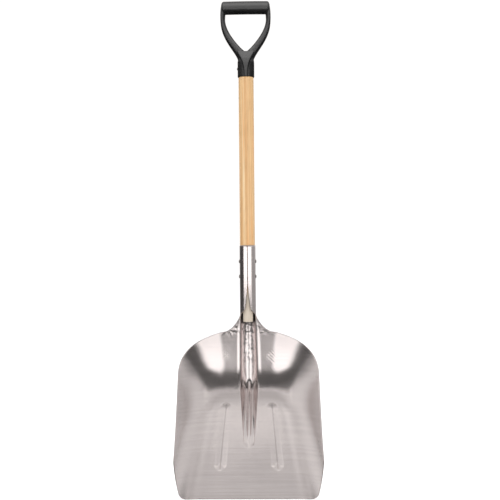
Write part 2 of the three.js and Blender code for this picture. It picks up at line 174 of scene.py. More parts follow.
# grip; heights count from the ferrule's bottom, and the arm's edges are the right arm's
FERRULE_BOTTOM = 1045
FERRULE_LENGTH = 44
FERRULE_RADIUS = 21
FERRULE_FLAT = 0.925  # depth as a share of the width
FERRULE_EDGE = ((-0.9, 0), (-0.2, 0.3), (0, 1.0))  # change of radius, height: the rounded lower edge
FERRULE_SHOULDER = ((1, -6), (0.93, 4), (0.6, 16))  # share of the radius, height above the top
FERRULE_PEAK = 20
BORE_OVERSHOOT = 5
BAR_HEIGHT = 175
BAR_HALF_LENGTH = 61
BAR_HALF_HEIGHT = 17
BAR_HALF_DEPTH = 15.5
BAR_STRAIGHT = 54  # half length of the part before its rounded ends
BAR_END_LOSS = 0.72  # share of the section's area lost at the very end
BAR_END_POWER = 2.6
BAR_ARCH = 1.2
BAR_FULLNESS = 0.92  # 1 is an ellipse, less is squarer
ARM_OUTER_LOW = ((19, 40), (22.5, 61), (54, 86), (61.5, 126))
ARM_OUTER_HIGH = ((61.5, 126), (64.3, 144), (64.3, 168), (60.5, 184))
ARM_INNER_LOW = ((-6, 60), (4, 66), (12, 74))
ARM_INNER_SIDE = ((12, 74), (27, 90), (49.5, 118), (51.2, 144))
ARM_INNER_HIGH = ((51.2, 144), (51.0, 162), (47, 178))
ARM_FULLNESS = 0.62
ARM_DEPTH = 12.5  # half the arm's thickness from front to back
ARM_WAIST = 2.2  # how much less midway up the arm
ARM_WAIST_PACE = 1.05
ARM_CREST = 0.40  # where it is thickest, between the inner and the outer edge
ARM_CREST_SHIFT = 0.26  # how far it moves outwards on the way up
ARM_CREST_PACE = 1.1
SPINE_STATIONS = (  # height, half width, half depth
    (0, 5.0, 21.0), (12, 5.4, 21.0), (24, 6.8, 20.8), (36, 10.2, 20.0),
    (46, 14.6, 18.4), (54, 18.6, 16.2), (60, 21.4, 14.2), (65, 23.2, 12.4),
)
SPINE_FULLNESS = 0.35

# rivets
RIVET_RADIUS = 2.5
RIVET_HEAD_RADIUS = 4.6
RIVET_HEAD_HEIGHT = 2.3
SOCKET_RIVET_HEIGHTS = {"upper": 582, "lower": 544}
GRIP_RIVET_HEIGHT = 1067
GRIP_RIVET_RADIUS = 2
GRIP_RIVET_HEAD_RADIUS = 3.6
GRIP_RIVET_HEAD_HEIGHT = 1.6
RIVET_SINK = 0.5  # how far the flush end lies inside the hole's mouth
HEAD_FOOT = 0.96  # share of a head's radius where it meets the sheet
HEAD_EDGE = 0.2  # shares of a head's height: its widest line, and where its dome springs from
DOME_SPRING = 0.35

# how finely the meshes are divided
OUTLINE_STEPS = (80, 120, 60, 60)  # neck, shoulder, side, lower side
OUTLINE_POINTS = 1600
SOCKET_ROWS = (SOCKET_TOP, SEAM_OPENS, FLARE_START, NECK + 0.6)
SOCKET_ROW_COUNTS = (24, 22, 16)
PAN_ROWS = (NECK - 0.8, 430, 330, 226, 190, 72, 56, 12, 0)
PAN_ROW_COUNTS = (16, 48, 44, 22, 48, 16, 14, 8)
PAN_COUNTS = (10, 12, 12, 10, 10, 14, 10)
CREASE_REACH = 14  # one column this far inside the crease
WALL_SHARES = (0.3, 0.7)  # columns on the way from the crease to the edge
TROUGH_COLUMN_MIN = 14  # half width kept by the grid below the trough's end
TROUGH_ANGLES = np.radians(np.linspace(0, 90, 37))
FILLET_ANGLES = np.radians(np.linspace(0, 90, 9))[1:]
ROUND_SIDES = 96
RIVET_SIDES = 40
DOME_STEPS = 8
DOME_TOP_ANGLE = 88
ARM_STEPS = 40
ARM_SIDES = 40
ARM_OUTER_STEPS = (40, 20)
ARM_INNER_STEPS = (12, 40, 12)
BAR_STEPS = (8, 24, 8)
BAR_SIDES = 48
SPINE_STEPS = 30
SPINE_SIDES = 40
GRIP_VOXEL = 0.7
ON_AXIS = 0.01  # smallest radius of a turned profile, where its flat end closes

MM = 0.001
SHAFT_LOW, SHAFT_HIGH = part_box("wood_shaft")
DATUM = Vector(((SHAFT_LOW.x + SHAFT_HIGH.x) / 2,
                (SHAFT_LOW.y + SHAFT_HIGH.y) / 2,
                SHAFT_LOW.z - SHAFT_TIP * MM))


# ---- mesh helpers ----

def in_frame(points):
    """Millimetres on the shaft's axis to metres in the model's frame."""
    return np.asarray(points, float) * MM + np.array(DATUM)


def new_object(name, vertices, faces, smooth=True):
    mesh = bpy.data.meshes.new(name)
    mesh.from_pydata([tuple(v) for v in vertices], [], [tuple(f) for f in faces])
    mesh.validate()
    mesh.polygons.foreach_set("use_smooth", [smooth] * len(mesh.polygons))
    obj = bpy.data.objects.new(name, mesh)
    bpy.context.scene.collection.objects.link(obj)
    return obj


def add_modifier(obj, kind, **settings):
    modifier = obj.modifiers.new(kind.title(), kind)
    for key, value in settings.items():
        setattr(modifier, key, value)


def apply_modifiers(obj):
    depsgraph = bpy.context.evaluated_depsgraph_get()
    mesh = bpy.data.meshes.new_from_object(obj.evaluated_get(depsgraph))
    obj.modifiers.clear()
    obj.data = mesh


def closed_loft(sections):
    """A closed skin through rings of equal length, capped at both ends."""
    count = len(sections[0])
    points = [p for ring in sections for p in ring]
    faces = []
    for i in range(len(sections) - 1):
        for j in range(count):
            k = (j + 1) % count
            faces.append((i * count + j, i * count + k, (i + 1) * count + k, (i + 1) * count + j))
    last = (len(sections) - 1) * count
    faces += [tuple(reversed(range(count))), tuple(range(last, last + count))]
    return points, faces


def turned(profile, sides=ROUND_SIDES, across=False):
    """A round solid about the shaft's axis, or about X when across, from (radius, position) pairs."""
    angles = np.linspace(0, 2 * math.pi, sides, endpoint=False)
    rings = [[(r * math.cos(a), r * math.sin(a), at) for a in angles] for r, at in profile]
    points, faces = closed_loft(rings)
    if across:
        points = [(z, x, y) for x, y, z in points]
    return points, faces


def rounded_corner(start, corner, end, radius, steps):
    """Points that round the corner of a profile, from the start side to the end side."""
    s, c, e = Vector(start), Vector(corner), Vector(end)
    a = c + (s - c).normalized() * radius
    b = c + (e - c).normalized() * radius
    shares = [i / steps for i in range(steps + 1)]
    return [tuple(a.lerp(c, t).lerp(c.lerp(b, t), t)) for t in shares]


def bezier(p0, p1, p2, p3, steps):
    t = np.linspace(0, 1, steps + 1)[:, None]
    p0, p1, p2, p3 = (np.array(p, float) for p in (p0, p1, p2, p3))
    return (1 - t) ** 3 * p0 + 3 * (1 - t) ** 2 * t * p1 + 3 * (1 - t) * t ** 2 * p2 + t ** 3 * p3


def quadratic(p0, p1, p2, steps):
    p0, p1, p2 = (np.array(p, float) for p in (p0, p1, p2))
    return bezier(p0, p0 + (p1 - p0) * 2 / 3, p2 + (p1 - p2) * 2 / 3, p2, steps)


def evenly(points, count):
    """The same line resampled at equal steps of its length."""
    points = np.asarray(points, float)
    steps = np.r_[0, np.cumsum(np.linalg.norm(np.diff(points, axis=0), axis=1))]
    at = np.linspace(0, steps[-1], count)
    return np.column_stack([np.interp(at, steps, points[:, k]) for k in range(points.shape[1])])


# ---- blade ----

def smooth_min(a, b, width):
    t = np.clip(0.5 + 0.5 * (b - a) / width, 0, 1)
    return b + (a - b) * t - width * t * (1 - t)


def smooth_max(a, b, width):
    return -smooth_min(-a, -b, width)


def smooth_step(t):
    t = np.clip(t, 0, 1)
    return t * t * (3 - 2 * t)


def rise(value, start, length):
    """0 up to start, and 1 from start + length on."""
    return smooth_step((value - start) / length)


def fall(value, end, length):
    """1 up to end - length, and 0 from end on."""
    return smooth_step((end - value) / length)


def floor_line(z):
    return TIP_DEPTH + FLOOR_SLOPE * z


def back_line(z):
    return (NECK - z) * BACK_SLOPE - LIP_DEPTH


def wing_start(z):
    low, high = WING_FLARE_HEIGHTS
    return WING_START + WING_FLARE * smooth_step((z - low) / (high - low))


def pan_depth(x, z):
    """y of the pan's hollow face: floor, back wall and side walls blended together."""
    across = np.abs(x)
    floor = floor_line(z)
    back = back_line(z) - WING_SLOPE * smooth_max(across - wing_start(z), 0, WING_BLEND)
    wall = floor - (across - (CREASE_AT_TIP - CREASE_TAPER * z)) * WALL_SLOPE
    return smooth_min(smooth_min(floor, back, BEND_BLEND), wall, CREASE_BLEND)


def trough_down(z):
    """How far down from the turn to the trough's end, from 0 to 1."""
    return np.clip((TROUGH_TURN - z) / (TROUGH_TURN - TROUGH_END), 0, 1)


def trough_nose(z):
    """Rounds off the trough's blunt end: 0 above it, 1 at the very end."""
    return np.clip((TROUGH_END + TROUGH_END_ROUND - z) / TROUGH_END_ROUND, 0, 1)


def trough_fade(z):
    """Share of the trough's depth, from 1 above the turn to 0 at the very end."""
    along = TROUGH_END_FADE + (1 - TROUGH_END_FADE) * (1 - trough_down(z)) ** TROUGH_FADE_POWER
    return along * (1 - trough_nose(z) ** 2)


def trough_half(z):
    """Half the trough's width: the socket's at the neck, widest at the turn, blunt at its end."""
    upper = np.clip((z - TROUGH_TURN) / (NECK - TROUGH_TURN), 0, 1)
    straight = TROUGH_HALF + (SOCKET_INNER - TROUGH_HALF) * upper
    straight = straight + (TROUGH_END_HALF - TROUGH_HALF) * trough_down(z)
    return straight * np.sqrt(1 - trough_nose(z) ** 2)


def lip_width(z):
    wide = rise(z, TROUGH_TURN, WIDE_LIP_RISE) * fall(z, NECK - WIDE_LIP_STOP, WIDE_LIP_FALL)
    return (LIP_WIDTH + WIDE_LIP * wide) * trough_fade(z)


def trough_bottom(z):
    """How far the trough's deepest line lies behind the pan."""
    floor = floor_line(z) + TROUGH_DROP * trough_fade(z)
    back = back_line(z) + SOCKET_INNER + LIP_DEPTH
    return np.maximum(0, smooth_min(floor, back, TROUGH_BLEND) - pan_depth(0, z))


def trough_depth(x, z):
    """How far the trough lies behind the pan, with rounded lips and a ridge down its lower half."""
    across = np.abs(x)
    half = np.maximum(trough_half(z), 1e-3)
    width = np.maximum(lip_width(z), 1e-3)
    bottom = trough_bottom(z)
    rim = np.minimum(LIP_DEPTH * trough_fade(z), bottom)
    lip = rim * (1 - np.sqrt(1 - np.clip((half + width - across) / width, 0, 1) ** 2))
    share = RIDGE_SHARE * fall(z, RIDGE_TOP, RIDGE_RISE)
    bowl = np.sqrt(np.maximum(0, 1 - (across / half) ** 2))
    crest = share * np.cos(math.pi / 2 * np.clip(across / RIDGE_HALF, 0, 1)) ** 2
    groove = rim + (bottom - rim) * bowl - bottom * crest
    return np.where(across < half, groove, lip)


def rib_along(z):
    return np.clip((RIB_TOP - z) / (RIB_TOP - RIB_BOTTOM), 0, 1)


def rib_centre(z):
    return RIB_TOP_X + (RIB_BOTTOM_X - RIB_TOP_X) * rib_along(z)


def rib_half(z):
    return RIB_TOP_HALF + (RIB_BOTTOM_HALF - RIB_TOP_HALF) * rib_along(z)


def rib_round(z):
    """Share of a rib's width left at height z, falling to almost nothing at its round ends."""
    top = np.clip((z - RIB_TOP + RIB_ROUND) / RIB_ROUND, 0, 1)
    bottom = np.clip((RIB_BOTTOM + RIB_ROUND - z) / RIB_ROUND, 0, 1)
    return np.sqrt(np.maximum(RIB_TIP_SHARE, 1 - top ** 2 - bottom ** 2))


def rib_depth(x, z):
    """A V groove that deepens downwards, inside a low raised rim, and rises to the floor at both ends."""
    across = (np.abs(x) - rib_centre(z)) / (rib_half(z) * rib_round(z))
    nose = (RIB_TOP - z) / RIB_NOSE
    ramp = (z - RIB_BOTTOM) / RIB_RAMP
    faces = 1 - np.sqrt(across ** 2 + RIB_KEEL)
    vee = smooth_min(faces, smooth_min(nose, ramp, RIB_END_BLEND), RIB_FACE_BLEND)
    depth = RIB_TOP_DEPTH + (RIB_BOTTOM_DEPTH - RIB_TOP_DEPTH) * rib_along(z)
    beside = np.exp(-((np.abs(across) - RIB_RIM_AT) / RIB_RIM_WIDTH) ** 2)
    rim = RIB_RIM * beside * np.clip(smooth_min(nose + 1, ramp + 1, RIB_RIM_BLEND), 0, 1)
    return depth * smooth_max(vee, 0, RIB_EDGE_BLEND) - rim


def blade_depth(x, z):
    return pan_depth(x, z) + trough_depth(x, z) + rib_depth(x, z)


def side_outline():
    neck_steps, shoulder_steps, side_steps, lower_steps = OUTLINE_STEPS
    neck = bezier((SOCKET_INNER, NECK), *NECK_CURVE, SHOULDER, neck_steps)
    shoulder = bezier(SHOULDER, *SHOULDER_CURVE, SIDE_TOP, shoulder_steps)
    side = quadratic(SIDE_TOP, SIDE_CURVE, WIDEST, side_steps)
    lower = quadratic(WIDEST, LOWER_SIDE_CURVE, CORNER, lower_steps)
    return evenly(np.vstack([neck, shoulder[1:], side[1:], lower[1:]]), OUTLINE_POINTS)


OUTLINE = side_outline()


def outline_half(z):
    return np.interp(z, OUTLINE[::-1, 1], OUTLINE[::-1, 0])


def row_edge(z):
    """The sheet's edge on the row that crosses the middle at height z."""
    if z <= BEND:
        height = CORNER[1] + (BEND - CORNER[1]) * z / BEND
        return outline_half(height), height
    end = int(np.argmax(OUTLINE[:, 1] <= BEND))
    at = (NECK - z) / (NECK - BEND) * end
    index = np.arange(end + 1)
    return np.interp(at, index, OUTLINE[:end + 1, 0]), np.interp(at, index, OUTLINE[:end + 1, 1])


def spread(stops, counts):
    """Stops joined into one rising list, each stretch divided evenly."""
    parts = [np.linspace(a, b, n, endpoint=False) for a, b, n in zip(stops, stops[1:], counts)]
    return np.r_[np.concatenate(parts), stops[-1]]


def pan_columns(z, inner):
    """The grid's columns from the trough's lip to the right edge, on the row at height z."""
    half = outline_half(CORNER[1] + (BEND - CORNER[1]) * z / BEND)
    centre, reach = rib_centre(z), rib_half(z)
    crease = CREASE_AT_TIP - CREASE_TAPER * z
    walls = [crease + share * (half - crease) for share in WALL_SHARES]
    stops = (inner, centre - reach, centre, centre + reach, crease - CREASE_REACH, *walls, half)
    return spread(stops, PAN_COUNTS)[1:]


def pan_row(z):
    edge_x, edge_z = row_edge(z)
    trough = max(float(trough_half(z)), TROUGH_COLUMN_MIN)
    fillet = min(max(LIP_WIDTH, float(lip_width(z))), LIP_SHARE_MAX * (edge_x - trough))
    inner = trough + fillet
    columns = pan_columns(min(z, BEND), inner)
    columns = inner + (columns - inner) * (edge_x - inner) / (columns[-1] - inner)
    x = np.r_[trough * np.sin(TROUGH_ANGLES), trough + fillet * (1 - np.cos(FILLET_ANGLES)), columns]
    sharpness = 1 + CORNER_SHARPNESS * np.clip(1 - z / CORNER_RISE, 0, 1)
    height = z + (edge_z - z) * (x / edge_x) ** sharpness
    return np.column_stack([x, blade_depth(x, height), height])


def socket_reach(z):
    """Half the angle of sheet left around the socket at height z, in degrees."""
    closed = math.degrees(math.asin(SEAM_HALF_GAP / SOCKET_INNER))
    spread_share = np.clip((SEAM_OPENS - z) / (SEAM_OPENS - FLARE_START), 0, 1)
    opening = closed + (FLARE_ANGLE - closed) * spread_share ** OPENING_POWER
    flare = np.clip((FLARE_START - z) / (FLARE_START - NECK), 0, 1) ** FLARE_POWER
    return 180 - (opening + (90 - opening) * flare)


def socket_row(z):
    rest = len(FILLET_ANGLES) + sum(PAN_COUNTS)
    beyond = np.radians(np.linspace(90, socket_reach(z), rest + 1))[1:]
    angles = np.r_[TROUGH_ANGLES, beyond]
    height = np.full(len(angles), float(z))
    return np.column_stack([SOCKET_INNER * np.sin(angles), SOCKET_INNER * np.cos(angles), height])


def blade_rows():
    """The hollow face as a grid of points: rows from the socket's mouth down to the cutting edge."""
    halves = [socket_row(z) for z in spread(SOCKET_ROWS, SOCKET_ROW_COUNTS)]
    halves += [pan_row(z) for z in spread(PAN_ROWS, PAN_ROW_COUNTS)]
    return np.array([np.vstack([half[:0:-1] * (-1, 1, 1), half]) for half in halves])


def ripple(point, wavelength, seed):
    return noise.noise(Vector(point) / wavelength + Vector((seed, 0, 0)))


# the sheet's fine unevenness: places as (half width, height), heights and wave lengths
FOLD_PATCH = ((44, 412), (24, 15))  # centre and reach
FOLDS_AT_NECK = 1.0
FOLDS_IN_TROUGH = 0.55
FOLD_WAVES = (9.0, 4.6)
CHECK_PATCH = ((56, 338), (13, 27))
CHECK_HEIGHT = 0.55
CHECK_PITCH = 9
CHECK_UNEVENNESS = 1.5
CHECK_GRAIN = 0.05
WALL_WAVES = 0.05
WALL_STRETCH = 0.15  # makes the walls' waves long from side to side
NO_FOLDS_ABOVE = NECK - 3
NO_FOLDS_BELOW = 60
LEAST_FOLD = 0.004
LEAST_CHECK = 0.01


def patch(point, centre, reach):
    """A soft round patch: 1 at its centre, fading over its reach on both sides of the blade."""
    across, height = (abs(point[0]) - centre[0]) / reach[0], (point[2] - centre[1]) / reach[1]
    return math.exp(-(across ** 2) - height ** 2)


def folds(point):
    """Small folds that drawing leaves around the neck and inside the trough."""
    in_trough = fall(abs(point[0]), 21, 5) * rise(point[2], 300, 40)
    amount = FOLDS_AT_NECK * patch(point, *FOLD_PATCH) + FOLDS_IN_TROUGH * in_trough
    if amount <= LEAST_FOLD:
        return 0.0
    long_wave, short_wave = FOLD_WAVES
    return amount * (ripple(point, long_wave, 3) + 0.5 * ripple(point, short_wave, 8))


def checks(point):
    """A faint checked texture on the back wall beside the trough."""
    amount = patch(point, *CHECK_PATCH)
    if amount <= LEAST_CHECK:
        return 0.0
    lattice = math.sin(point[0] * math.tau / CHECK_PITCH) * math.sin(point[2] * math.tau / CHECK_PITCH)
    uneven = CHECK_HEIGHT * lattice * (1 + CHECK_UNEVENNESS * ripple(point, 14.0, 5))
    return amount * (uneven + CHECK_GRAIN * ripple(point, 10.0, 9))


def wall_waves(point):
    """Very shallow waves along the side walls."""
    amount = WALL_WAVES * rise(abs(point[0]), 110, 25)
    return amount * ripple((WALL_STRETCH * point[0], 0, point[2]), 11.0, 21)


def worked_metal(rows):
    """The small unevenness that the press leaves in the sheet."""
    for row in rows:
        for point in row:
            if NO_FOLDS_BELOW <= point[2] <= NO_FOLDS_ABOVE:
                point[1] += folds(point)
                point[1] += checks(point)
                point[1] += wall_waves(point)
    return rows


# painted shade: how much darker the sheet's colour is made in each place, from 0 to 1, standing in for shade
# in creases, grooves and corners and a darker reflection on the left wall
RIB_CREASE_SHADE = 0.20
RIB_CREASE_SHADE_HALF = 1.5
NOSE_SHADE = 0.17
NOSE_SHADE_AT = 0.45  # share of the rib's upper slope
NOSE_SHADE_SAG = 5
NOSE_SHADE_HALF = 1.7
SHAFT_END_SHADE = 0.6
GROOVE_SHADE = 0.07
GROOVE_AT = 11
GROOVE_HALF = 5
LEFT_WALL_SHADE = 0.13
MOUTH_SHADE = 0.5


def rib_painted_shade(x, z):
    """Painted shade: a dark line along the bottom of each rib's crease, and a dark arc across its upper end
    where the slope faces down.
    """
    off_centre = np.abs(x) - rib_centre(z)
    along = fall(z, RIB_TOP, 4) * rise(z, RIB_BOTTOM, 6)
    line = RIB_CREASE_SHADE * np.exp(-(off_centre / RIB_CREASE_SHADE_HALF) ** 2) * along
    across = off_centre / rib_half(z)
    arc_height = RIB_TOP - NOSE_SHADE_AT * RIB_NOSE - NOSE_SHADE_SAG * across ** 2
    arc = NOSE_SHADE * np.exp(-((z - arc_height) / NOSE_SHADE_HALF) ** 2)
    return line + arc * fall(np.abs(across), 0.75, 0.3)


def socket_painted_shade(x, y, z):
    """Painted shade: the dark corner round the shaft's hidden end, and the shade in the trough just below it.
    """
    inside = fall(np.abs(x), SOCKET_INNER + 1, 2) * rise(y, -3, 5)
    corner = SHAFT_END_SHADE * inside * fall(z, NECK + 30, 20) * rise(z, SHAFT_TIP - 9, 9)
    return corner + MOUTH_SHADE * fall(np.abs(x), 17, 5) * rise(z, 400, 32)


def groove_painted_shade(x, z):
    """Painted shade in the grooves on both sides of the trough's ridge."""
    groove = np.exp(-((np.abs(x) - GROOVE_AT) / GROOVE_HALF) ** 2)
    return GROOVE_SHADE * groove * fall(z, 285, 25) * rise(z, 170, 40)


def left_wall_painted_shade(x, z):
    """Painted shade: the upper half of the left wall is darkened, standing in for a darker reflection there.
    """
    return LEFT_WALL_SHADE * rise(-x, 130, 25) * rise(z, 150, 70) * fall(z, 330, 30)


def painted_shade_amount(rows):
    """How much darker each point of the sheet is painted, as shade."""
    x, y, z = rows[..., 0], rows[..., 1], rows[..., 2]
    shade_values = rib_painted_shade(x, z) + socket_painted_shade(x, y, z) + groove_painted_shade(x, z) + left_wall_painted_shade(x, z)
    return np.clip(shade_values, 0, 1)


def grid_faces(rows, columns):
    faces = []
    for i in range(rows - 1):
        for j in range(columns - 1):
            a = i * columns + j
            faces.append((a, a + columns, a + columns + 1, a + 1))
    return faces


def unit(vectors):
    return vectors / np.linalg.norm(vectors, axis=-1, keepdims=True)


def sheet_normals(rows):
    """Unit normals of the hollow face, pointing into the sheet."""
    return unit(np.cross(np.gradient(rows, axis=1), np.gradient(rows, axis=0)))


def border_loop(rows, columns):
    """Indices of the grid's border, once round."""
    top = [(0, j) for j in range(columns)]
    right = [(i, columns - 1) for i in range(1, rows)]
    bottom = [(rows - 1, j) for j in range(columns - 2, -1, -1)]
    left = [(i, 0) for i in range(rows - 2, 0, -1)]
    return [i * columns + j for i, j in top + right + bottom + left]


def rim_rings(edge, into_sheet, outwards):
    """Rings of points that round the rim between the hollow face's edge and the back face's."""
    rings = []
    for angle in RIM_ANGLES:
        depth = SHEET * (0.5 - 0.5 * math.cos(angle))
        rings.append(edge + depth * into_sheet + RIM_BULGE * math.sin(angle) * outwards)
    return rings


def rim_loops(loop, front_count, ring_count):
    """Indices of every loop round the rim, from the hollow face's edge to the back face's."""
    size = len(loop)
    rings = [front_count + k * size + np.arange(size) for k in range(ring_count)]
    return [np.array(loop), *rings, front_count + ring_count * size + np.array(loop)]


def rim_faces(loops):
    faces = []
    for low, high in zip(loops, loops[1:]):
        quads = np.column_stack([low, np.roll(low, -1), np.roll(high, -1), high])
        faces += [tuple(quad) for quad in quads.tolist()]
    return faces


def scoop_blade():
    """The sheet as one closed solid: hollow face, rounded rim, back face."""
    rows = worked_metal(blade_rows())
    size = rows.shape[:2]
    inner = rows.reshape(-1, 3)
    normals = sheet_normals(rows).reshape(-1, 3)
    loop = border_loop(*size)
    along = unit(np.roll(inner[loop], -1, axis=0) - np.roll(inner[loop], 1, axis=0))
    outwards = unit(np.cross(along, normals[loop]))
    inner[loop] -= RIM_BULGE * outwards
    outer = inner + SHEET * normals
    rings = rim_rings(inner[loop], normals[loop], outwards)
    loops = rim_loops(loop, len(inner), len(rings))
    front = grid_faces(*size)
    back_start = loops[-1][0] - loop[0]
    back = [tuple(back_start + i for i in reversed(face)) for face in front]
    faces = [tuple(map(int, face)) for face in front + back + rim_faces(loops)]
    obj = new_object("blade_sheet", in_frame(np.vstack([inner, *rings, outer])), faces)
    # painted shade, kept on the points: the rim takes the hollow face's edge values and the back face none
    shade_values = painted_shade_amount(rows).ravel()
    values = np.concatenate([shade_values] + [shade_values[loop]] * len(rings) + [0 * shade_values])
    attribute = obj.data.attributes.new("painted_shade_amount", "FLOAT", "POINT")
    attribute.data.foreach_set("value", values.astype(np.float32))
    return obj


# ---- shaft ----

def wood_shaft():
    shoulder = SOCKET_TOP + CLEARANCE
    collar = FERRULE_BOTTOM - CLEARANCE
    corners = [
        (ON_AXIS, SHAFT_TIP),
        (SHAFT_TIP_RADIUS, SHAFT_TIP),
        (SHAFT_IN_SOCKET, SHAFT_TAPER_START),
        (SHAFT_IN_SOCKET, shoulder),
        (SHAFT_RADIUS, shoulder),
        (SHAFT_RADIUS, collar),
        (SHAFT_IN_GRIP, collar),
        (SHAFT_IN_GRIP, SHAFT_END),
        (ON_AXIS, SHAFT_END),
    ]
    profile = [corners[0]]
    for start, corner, end in zip(corners, corners[1:], corners[2:]):
        profile += rounded_corner(start, corner, end, SHAFT_EDGE, steps=3)
    profile.append(corners[-1])
    points, faces = turned(profile)
    return new_object("shaft_wood", in_frame(points), faces)


# ---- grip ----

def signed_power(value, power):
    return math.copysign(abs(value) ** power, value)


def squarish_ring(half_width, half_height, fullness, sides):
    """An ellipse with its corners filled out; a fullness of 1 leaves it as it is."""
    angles = [2 * math.pi * i / sides for i in range(sides)]
    return [(half_width * signed_power(math.cos(angle), fullness),
             half_height * signed_power(math.sin(angle), fullness)) for angle in angles]


def arm_section(inner, outer, crest, depth):
    """One section across an arm, between its inner and outer edge, deepest at the crest."""
    ring = []
    power = math.log(crest) / math.log(0.5)
    for i in range(ARM_SIDES):
        angle = 2 * math.pi * i / ARM_SIDES
        share = (0.5 + 0.5 * math.cos(angle)) ** power
        x = inner[0] + (outer[0] - inner[0]) * share
        z = inner[1] + (outer[1] - inner[1]) * share
        ring.append((x, -depth * signed_power(math.sin(angle), ARM_FULLNESS), z))
    return ring


def arm_edges():
    """The right arm's outer and inner edge, from the ferrule to the bar."""
    low, high = ARM_OUTER_STEPS
    outer = [bezier(*ARM_OUTER_LOW, low), bezier(*ARM_OUTER_HIGH, high)[1:]]
    low, side, high = ARM_INNER_STEPS
    inner = [quadratic(*ARM_INNER_LOW, low), bezier(*ARM_INNER_SIDE, side)[1:]]
    inner.append(quadratic(*ARM_INNER_HIGH, high)[1:])
    return evenly(np.vstack(outer), ARM_STEPS), evenly(np.vstack(inner), ARM_STEPS)


def grip_arm(side):
    outer, inner = arm_edges()
    sections = []
    for i in range(ARM_STEPS):
        t = i / (ARM_STEPS - 1)
        crest = ARM_CREST + ARM_CREST_SHIFT * smooth_step(t * ARM_CREST_PACE)
        depth = ARM_DEPTH - ARM_WAIST * math.sin(math.pi * min(1, t * ARM_WAIST_PACE))
        ring = arm_section(inner[i], outer[i], crest, depth)
        sections.append([(side * x, y, z) for x, y, z in ring])
    if side < 0:
        sections.reverse()
    return closed_loft(sections)


def grip_bar():
    sections = []
    for x in spread((-BAR_HALF_LENGTH, -BAR_STRAIGHT, BAR_STRAIGHT, BAR_HALF_LENGTH), BAR_STEPS):
        end = max(0, (abs(x) - BAR_STRAIGHT) / (BAR_HALF_LENGTH - BAR_STRAIGHT))
        size = math.sqrt(max(0.0, 1 - BAR_END_LOSS * end ** BAR_END_POWER))
        arch = BAR_ARCH * (1 - (x / BAR_HALF_LENGTH) ** 2)
        half_height = (BAR_HALF_HEIGHT - BAR_ARCH / 2) * size
        ring = squarish_ring(BAR_HALF_DEPTH * size, half_height, BAR_FULLNESS, BAR_SIDES)
        sections.append([(x, y, BAR_HEIGHT + arch * 0.5 + z) for y, z in ring])
    return closed_loft(sections)


def grip_spine():
    """The raised band down the front and back of the ferrule, widening into the fork of the arms."""
    heights, halves, depths = np.array(SPINE_STATIONS, float).T
    sections = []
    for z in np.linspace(heights[0], heights[-1], SPINE_STEPS):
        half, depth = np.interp(z, heights, halves), np.interp(z, heights, depths)
        ring = squarish_ring(half, depth, SPINE_FULLNESS, SPINE_SIDES)
        sections.append([(x, y, z) for x, y in ring])
    return closed_loft(sections)


def joined(name, parts):
    vertices, faces = [], []
    for points, polygons in parts:
        base = len(vertices)
        vertices += list(points)
        faces += [tuple(base + i for i in polygon) for polygon in polygons]
    return new_object(name, vertices, faces)


def ferrule():
    profile = [(ON_AXIS, 0)]
    profile += [(FERRULE_RADIUS + change, z) for change, z in FERRULE_EDGE]
    profile += [(share * FERRULE_RADIUS, FERRULE_LENGTH + z) for share, z in FERRULE_SHOULDER]
    profile.append((ON_AXIS, FERRULE_LENGTH + FERRULE_PEAK))
    points, faces = turned(profile)
    return [(x, y * FERRULE_FLAT, z) for x, y, z in points], faces


def grip_bore():
    radius = SHAFT_IN_GRIP + CLEARANCE
    top = SHAFT_END + CLEARANCE - FERRULE_BOTTOM
    return turned([(ON_AXIS, -BORE_OVERSHOOT), (radius, -BORE_OVERSHOOT), (radius, top), (ON_AXIS, top)])


def d_grip():
    obj = joined("grip_moulding", [ferrule(), grip_bar(), grip_arm(1), grip_arm(-1), grip_spine()])
    add_modifier(obj, "REMESH", mode="VOXEL", voxel_size=GRIP_VOXEL)
    add_modifier(obj, "SMOOTH", factor=0.5, iterations=2)
    apply_modifiers(obj)
    cutter = joined("grip_bore_cutter", [grip_bore()])
    add_modifier(obj, "BOOLEAN", operation="DIFFERENCE", object=cutter, solver="EXACT")
    apply_modifiers(obj)
    bpy.data.objects.remove(cutter)
    obj.data.transform(Matrix.Translation((0, 0, FERRULE_BOTTOM)))
    obj.data.transform(Matrix.Translation(DATUM) @ Matrix.Scale(MM, 4))
    obj.data.polygons.foreach_set("use_smooth", [True] * len(obj.data.polygons))
    return obj


# ---- rivets ----

def domed_end(shank, head, height, seat):
    """(radius, position) pairs of a rivet's domed head that sits on the seat."""
    angles = np.radians(np.linspace(0, DOME_TOP_ANGLE, DOME_STEPS))
    spring = seat + DOME_SPRING * height
    dome = [(head * math.cos(a), spring + (1 - DOME_SPRING) * height * math.sin(a)) for a in angles]
    return [(shank, seat), (head * HEAD_FOOT, seat), (head, seat + HEAD_EDGE * height)] + dome


def mirrored_end(end):
    return [(r, -x) for r, x in reversed(end)]


def rivet(name, profile, height):
    points, faces = turned(profile, sides=RIVET_SIDES, across=True)
    points = [(x, y, z + height) for x, y, z in points]
    return new_object(name, in_frame(points), faces)


def socket_rivet(which):
    end = domed_end(RIVET_RADIUS, RIVET_HEAD_RADIUS, RIVET_HEAD_HEIGHT, SOCKET_INNER + SHEET)
    return rivet(f"rivet_{which}", mirrored_end(end) + end, SOCKET_RIVET_HEIGHTS[which])


def grip_rivet():
    end = domed_end(GRIP_RIVET_RADIUS, GRIP_RIVET_HEAD_RADIUS, GRIP_RIVET_HEAD_HEIGHT, FERRULE_RADIUS)
    flush = [(GRIP_RIVET_RADIUS, FERRULE_RADIUS - RIVET_SINK), (ON_AXIS, FERRULE_RADIUS - RIVET_SINK)]
    return rivet("rivet_grip", mirrored_end(end) + flush, GRIP_RIVET_HEIGHT)


# ---- materials ----

